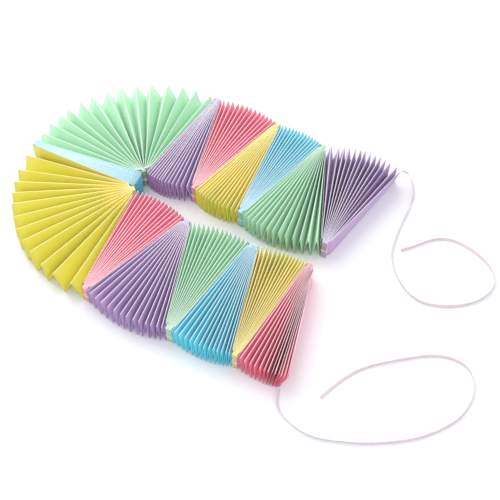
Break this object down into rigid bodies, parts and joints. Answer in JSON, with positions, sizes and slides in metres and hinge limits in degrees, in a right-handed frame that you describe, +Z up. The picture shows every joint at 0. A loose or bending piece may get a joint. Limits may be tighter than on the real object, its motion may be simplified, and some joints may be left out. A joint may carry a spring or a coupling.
{
  "type": "paper fan garland",
  "caption": "Garland of accordion-pleated paper fans in five colours, bent into a U, with a ribbon at each end.",
  "frame": {"origin": "middle of the garland's outline seen from above, at the surface it lies on, ribbons left out", "axes": "+Z up from that surface, +X along the rows of fans towards the U's open end"},
  "size_m": [0.4178, 0.2491, 0.0205],
  "materials": {
    "paper_pink": "matte",
    "paper_yellow": "matte",
    "paper_blue": "matte",
    "paper_green": "matte",
    "paper_purple": "matte",
    "thread": "matte",
    "ribbon": "satin"
  },
  "bodies": {
    "root": {"fan_01_pink": "paper_pink", "fan_02_yellow": "paper_yellow", "fan_03_blue": "paper_blue", "fan_04_green": "paper_green", "fan_05_purple": "paper_purple", "fan_06_pink": "paper_pink", "fan_07_yellow": "paper_yellow", "fan_08_blue": "paper_blue", "fan_09_green": "paper_green", "fan_10_purple": "paper_purple", "fan_11_pink": "paper_pink", "fan_12_yellow": "paper_yellow", "fan_13_blue": "paper_blue", "fan_14_green": "paper_green", "fan_15_purple": "paper_purple", "thread_01_pink": "thread", "thread_02_yellow": "thread", "thread_03_blue": "thread", "thread_04_green": "thread", "thread_05_purple": "thread", "thread_06_pink": "thread", "thread_07_yellow": "thread", "thread_08_blue": "thread", "thread_09_green": "thread", "thread_10_purple": "thread", "thread_11_pink": "thread", "thread_12_yellow": "thread", "thread_13_blue": "thread", "thread_14_green": "thread", "thread_15_purple": "thread", "ribbon_pink_end": "ribbon", "ribbon_purple_end": "ribbon"}
  },
  "joints": []
}
